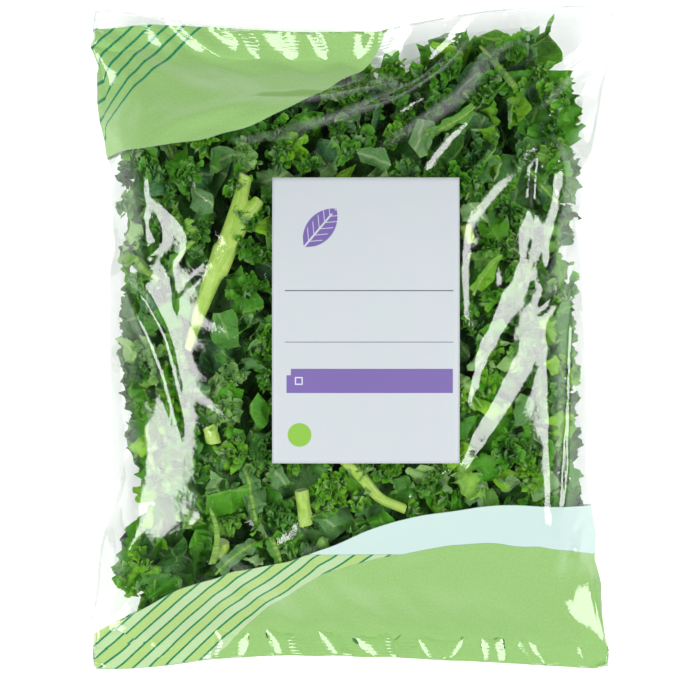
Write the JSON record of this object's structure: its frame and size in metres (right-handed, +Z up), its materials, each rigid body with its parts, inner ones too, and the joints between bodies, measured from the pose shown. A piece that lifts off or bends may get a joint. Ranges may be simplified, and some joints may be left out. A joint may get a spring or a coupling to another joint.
{
  "type": "bag of cut curly kale",
  "caption": "Sealed clear pillow bag of cut curly kale, with printed green ends and a pale label, lying on its back.",
  "frame": {"origin": "centre of the bag's bounding box at the bottom, on the surface that it lies on", "axes": "+Z up through the printed front, +Y along the bag to its head seal, +X to the right as seen from the front"},
  "size_m": [0.2356, 0.2994, 0.054],
  "materials": {
    "film": "thin clear glossy film, printed in light green, lime, dark green and pale blue at its two ends",
    "label": "smooth matt self-adhesive paper, pale grey-blue with two thin rules and a purple bar",
    "leaf": "curled kale leaf, dark to mid green with pale veins and a waxy bloom below",
    "stem": "moist pale yellow-green leaf stalk with fine ribs and paler cut ends"
  },
  "bodies": {
    "root": {"film_pouch": "film", "front_label": "label", "leaf_front_01": "leaf", "leaf_front_02": "leaf", "leaf_front_03": "leaf", "leaf_front_04": "leaf", "leaf_front_05": "leaf", "leaf_front_06": "leaf", "leaf_front_07": "leaf", "leaf_front_08": "leaf", "leaf_front_09": "leaf", "leaf_front_10": "leaf", "leaf_front_11": "leaf", "leaf_front_12": "leaf", "leaf_front_13": "leaf", "leaf_front_14": "leaf", "leaf_front_15": "leaf", "leaf_front_16": "leaf", "leaf_front_17": "leaf", "leaf_front_18": "leaf", "leaf_front_19": "leaf", "leaf_front_20": "leaf", "leaf_front_21": "leaf", "leaf_front_22": "leaf", "leaf_front_23": "leaf", "leaf_front_24": "leaf", "leaf_front_25": "leaf", "leaf_front_26": "leaf", "leaf_front_27": "leaf", "leaf_front_28": "leaf", "leaf_front_29": "leaf", "leaf_inner_01": "leaf", "leaf_inner_02": "leaf", "leaf_inner_03": "leaf", "leaf_inner_04": "leaf", "leaf_inner_05": "leaf", "leaf_inner_06": "leaf", "leaf_inner_07": "leaf", "leaf_inner_08": "leaf", "leaf_inner_09": "leaf", "leaf_inner_10": "leaf", "leaf_inner_11": "leaf", "leaf_back_01": "leaf", "leaf_back_02": "leaf", "leaf_back_03": "leaf", "leaf_back_04": "leaf", "leaf_back_05": "leaf", "leaf_back_06": "leaf", "leaf_back_07": "leaf", "leaf_back_08": "leaf", "leaf_back_09": "leaf", "leaf_back_10": "leaf", "leaf_back_11": "leaf", "leaf_back_12": "leaf", "stem_long_curved": "stem", "stem_chunk_1": "stem", "stem_chunk_2": "stem", "stem_chunk_3": "stem", "stem_chunk_4": "stem", "stem_forked": "stem"}
  },
  "joints": []
}
